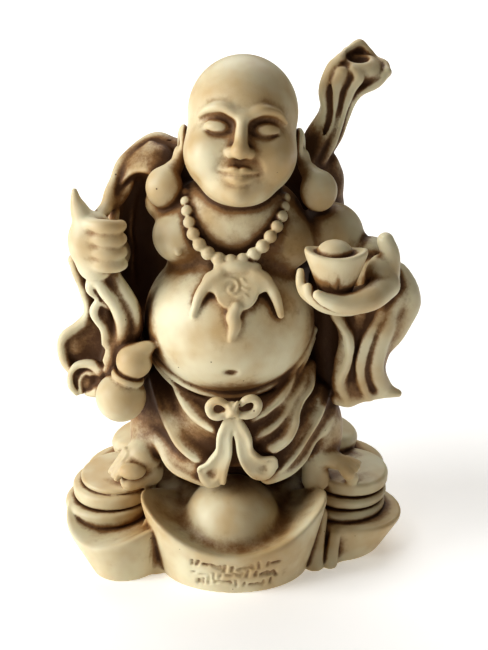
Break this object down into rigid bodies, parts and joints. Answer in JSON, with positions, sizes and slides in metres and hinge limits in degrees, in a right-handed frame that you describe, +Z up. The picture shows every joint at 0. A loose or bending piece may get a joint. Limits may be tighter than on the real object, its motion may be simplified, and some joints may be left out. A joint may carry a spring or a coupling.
{
  "type": "budai figure",
  "caption": "Cast resin figurine of a round-bellied monk with a sack, a gourd and an ingot in hand, standing on gold ingots and coins.",
  "frame": {"origin": "on the flat underside, below the middle of the big ingot's length", "axes": "+Z up; the front of the figure faces -Y; +X is the figure's left"},
  "size_m": [0.106, 0.0742, 0.1503],
  "materials": {
    "resin": "ivory casting resin, satin, with a brown wash left in the hollows"
  },
  "bodies": {
    "root": {"figure": "resin"}
  },
  "joints": []
}
